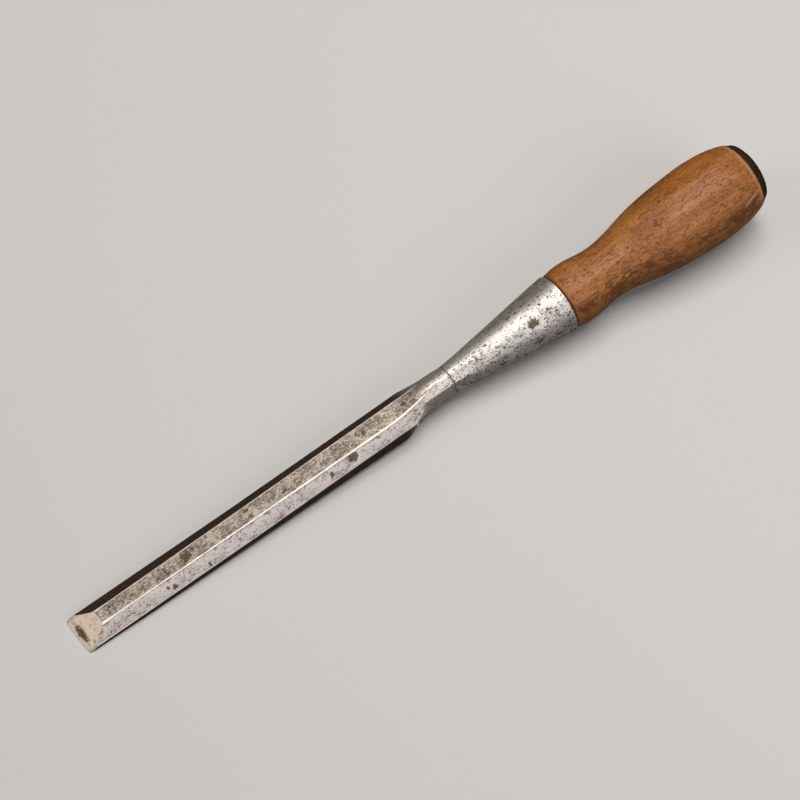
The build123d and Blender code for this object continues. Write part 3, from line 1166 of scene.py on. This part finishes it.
def wood():
    """Oiled hardwood, worn satin, with long grain, short dark pores and old knocks."""
    s = Shading("handle_hardwood")
    lean = handle_lean()
    at = s.place(lean=lean)
    along = s.place(scale=(0.045, 1, 1), lean=lean)
    pores_at = s.place(scale=(0.32, 1, 1), lean=lean)
    _, y, z = s.parts(at)
    bands = s.noise(along, 0.30, 4, 0.6, 0.6)
    streaks = s.noise(along, 1.7, 4, 0.65)
    thin_streaks = s.noise(along, 3.4, 3, 0.65)
    clouds = s.noise(at, 0.075, 4, 0.6)
    lights = s.noise(pores_at, 1.3, 3, 0.6)
    fleck = s.band(s.noise(pores_at, 2.6, 3, 0.6), 0.52, 0.63)
    pores = s.plus(s.noise(pores_at, 1.35, 3, 0.6), s.band(clouds, 0.4, 0.6, -0.02, 0.03))
    pore = s.band(pores, 0.56, 0.63)
    color = s.layers(
        s.mix(s.band(bands, 0.3, 0.7), (0.33, 0.105, 0.018), (0.51, 0.205, 0.058)),
        # far side painted a deeper, more saturated orange: painted shade on the side away from the sheen
        (s.band(s.plus(y, s.times(clouds, 6.0)), 4.0, 14.0, 0.0, 0.8), (0.42, 0.140, 0.004)),
        (s.band(streaks, 0.45, 0.75, 0.0, 0.55), (0.18, 0.060, 0.014)),
        (s.band(thin_streaks, 0.52, 0.66, 0.0, 0.6), (0.15, 0.048, 0.012)),
        # darker brown low down and on the far side: partly dirt, partly painted shade
        (wood_shade(s, y, z, clouds, s.noise(pores_at, 0.8, 5, 0.72)), (0.105, 0.033, 0.006)),
        (s.band(lights, 0.59, 0.69, 0.0, 0.65), (0.68, 0.34, 0.10)),
        (s.times(fleck, 0.62), (0.15, 0.048, 0.012)),
        (s.times(pore, 0.75), (0.115, 0.034, 0.009)),
        (s.times(s.mark("dent"), 0.45), (0.15, 0.052, 0.014)),
        (s.times(s.mark("scratch"), 0.75), (0.66, 0.40, 0.20)),
        # darker rings at the joints, and a stain on the tenon
        (s.times(s.mark("darkening"), 0.85), (0.030, 0.014, 0.007)),
    )
    rough = s.plus(s.band(streaks, 0.3, 0.8, 0.42, 0.54), s.times(pore, 0.2))
    height = s.plus(s.times(pore, -0.7), s.times(fleck, -0.4))
    height = s.plus(height, s.times(streaks, 0.4))
    s.surface.inputs["Coat Weight"].default_value = 0.06
    s.surface.inputs["Coat Roughness"].default_value = 0.45
    return s.finish(color, rough, 0.0, height, 0.06, specular=0.32)


def wood_shade(s, y, z, clouds, grain):
    """Darker clouds low down and on the far side, and an even darker tone underneath: partly dirt, partly
    painted shade.
    """
    under = s.band(s.plus(z, s.times(clouds, 14.0)), 14.0, 2.0, 0.0, 0.36)
    edges = s.most(s.band(z, 12.0, 6.0), s.band(y, 9.0, 13.0))
    cloudy = s.band(s.plus(clouds, s.around(grain, 0.9)), 0.45, 0.57, 0.0, 0.80)
    return s.most(s.times(cloudy, s.most(edges, 0.20)), under)


def leather():
    """Hard black leather, oily, cracked and mushroomed by the mallet."""
    s = Shading("washer_leather")
    lean = handle_lean()
    at = s.place(lean=lean)
    clouds = s.noise(at, 0.3, 4, 0.6)
    layers = s.noise(s.place(scale=(4.0, 0.6, 0.6), lean=lean), 0.8, 4, 0.65)
    grain = s.noise(at, 2.6, 5, 0.65)
    color = s.mix(s.band(clouds, 0.35, 0.7), (0.014, 0.0085, 0.005), (0.036, 0.021, 0.012))
    color = s.mix(s.band(grain, 0.55, 0.75, 0.0, 0.5), color, (0.10, 0.064, 0.040))
    rough = s.band(grain, 0.3, 0.7, 0.5, 0.8)
    height = s.plus(s.times(layers, 0.7), grain)
    return s.finish(color, rough, 0.0, height, 0.45, specular=0.15)


# ---- stage ----

FLOOR_PALE = (0.62, 0.61, 0.60)
FLOOR_GREY = (0.17, 0.165, 0.16)
FLOOR_REACH = 3.0
AIM = Vector((0.16, 0, 0))
CAMERA_TARGET = Vector((0.15559, 0.00899, 0))
CAMERA_DISTANCE = 1.2378
CAMERA_AZIMUTH = radians(37.44)
CAMERA_ELEVATION = radians(59.77)
CAMERA_ROLL = radians(0.168)
CAMERA_LENS = 145.4


def make_floor():
    """Plain pale floor; it is darker to the light that it sends back up at the metal."""
    s = Shading("floor_paper")
    seen = s.tree.nodes.new("ShaderNodeLightPath").outputs["Is Camera Ray"]
    s.put(s.surface.inputs["Base Color"], s.mix(seen, FLOOR_GREY, FLOOR_PALE))
    s.put(s.surface.inputs["Roughness"], 0.9)
    s.surface.inputs["Specular IOR Level"].default_value = 0.1
    corners = [(-FLOOR_REACH, -FLOOR_REACH, 0), (FLOOR_REACH, -FLOOR_REACH, 0)]
    corners += [(FLOOR_REACH, FLOOR_REACH, 0), (-FLOOR_REACH, FLOOR_REACH, 0)]
    mesh = bpy.data.meshes.new("floor")
    mesh.from_pydata(corners, [], [(0, 1, 2, 3)])
    mesh.materials.append(s.material)
    floor = bpy.data.objects.new("floor", mesh)
    bpy.context.collection.objects.link(floor)


def make_light(name, direction, distance, size, power, color):
    """Soft rectangular lamp that faces the middle of the tool."""
    lamp = bpy.data.lights.new(name, "AREA")
    lamp.shape = "RECTANGLE"
    lamp.size, lamp.size_y = size
    lamp.energy = power
    lamp.color = color
    light = bpy.data.objects.new(name, lamp)
    away = Vector(direction).normalized()
    light.location = AIM + away * distance
    light.rotation_mode = "QUATERNION"
    light.rotation_quaternion = away.to_track_quat("Z", "Y")
    bpy.context.collection.objects.link(light)


def make_lights():
    make_light("overhead_softbox", (0.30, 0.03, 0.95), 1.5, (1.2, 0.7), 19, (1.0, 0.96, 0.91))
    make_light("near_fill", (0.25, -0.82, 0.55), 1.8, (1.2, 0.9), 7.5, (0.98, 0.97, 1.0))
    make_light("left_fill", (-0.75, 0.35, 0.60), 1.8, (0.8, 0.8), 5, (1.0, 0.98, 0.95))
    world = bpy.data.worlds.new("studio")
    world.use_nodes = True
    world.node_tree.nodes["Background"].inputs["Color"].default_value = (0.95, 0.97, 1.0, 1)
    world.node_tree.nodes["Background"].inputs["Strength"].default_value = 0.10
    bpy.context.scene.world = world


def make_camera():
    """Camera at the viewing angle that shows the bevels and the whole handle."""
    right = Vector((cos(CAMERA_AZIMUTH), -sin(CAMERA_AZIMUTH), 0))
    away = Vector((sin(CAMERA_AZIMUTH), cos(CAMERA_AZIMUTH), 0))
    forward = away * cos(CAMERA_ELEVATION) - UP * sin(CAMERA_ELEVATION)
    up = right.cross(forward)
    rolled_right = right * cos(CAMERA_ROLL) + up * sin(CAMERA_ROLL)
    rolled_up = rolled_right.cross(forward)
    lens = bpy.data.cameras.new("camera")
    lens.lens = CAMERA_LENS
    lens.sensor_width = 36
    lens.clip_start = 0.05
    lens.clip_end = 20
    camera = bpy.data.objects.new("camera", lens)
    turn = Matrix((rolled_right, rolled_up, -forward)).transposed()
    camera.matrix_world = Matrix.Translation(CAMERA_TARGET - forward * CAMERA_DISTANCE) @ turn.to_4x4()
    bpy.context.collection.objects.link(camera)
    bpy.context.scene.camera = camera


BLADE_BRIGHT = (0.70, 0.625, 0.585)
BLADE_DULL = (0.53, 0.455, 0.385)
SOCKET_BRIGHT = (0.80, 0.75, 0.71)
SOCKET_DULL = (0.47, 0.40, 0.33)

blade_metal = metal("blade_steel_worn", 0.0, 0.8, BLADE_BRIGHT, BLADE_DULL, blade_crowding)
socket_metal = metal("socket_iron_worn", handle_lean(), 0.6, SOCKET_BRIGHT, SOCKET_DULL, socket_crowding)
make_blade([blade_metal, ground_face()])
make_socket(socket_metal)
make_handle(wood())
make_washers(leather())
make_floor()
make_lights()
make_camera()
bpy.context.scene.view_settings.view_transform = "Standard"
